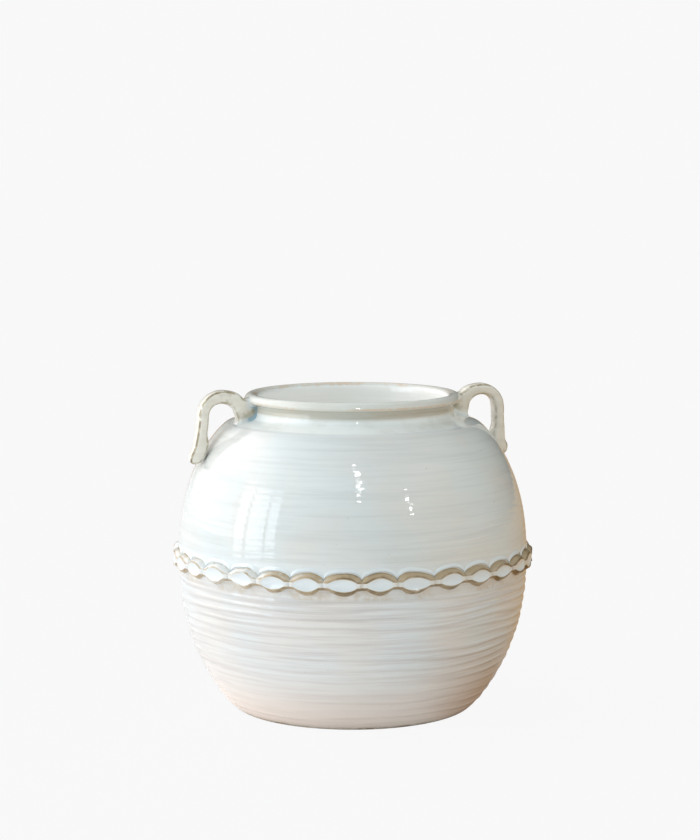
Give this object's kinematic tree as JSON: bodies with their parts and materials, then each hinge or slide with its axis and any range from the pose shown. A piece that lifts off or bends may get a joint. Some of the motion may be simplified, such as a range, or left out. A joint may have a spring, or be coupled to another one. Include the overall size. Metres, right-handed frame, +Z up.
{
  "type": "handled vase",
  "caption": "Round-bellied white-glazed stoneware jar with a rolled lip, two small strap handles on the shoulder and a pinched clay band round the waist.",
  "frame": {"origin": "centre of the flat base that the jar stands on, on the axis it was thrown about", "axes": "+Z up along that axis, out of the mouth; the two handles stand on the X axis, the left one at -X"},
  "size_m": [0.23, 0.23, 0.2046],
  "materials": {
    "white_glaze": "gloss",
    "band_glaze": "gloss",
    "handle_glaze": "gloss"
  },
  "bodies": {
    "root": {"lower_body": "white_glaze", "upper_body": "white_glaze", "neck_collar": "white_glaze", "pinched_band": "band_glaze", "left_handle": "handle_glaze", "right_handle": "handle_glaze"}
  },
  "joints": []
}
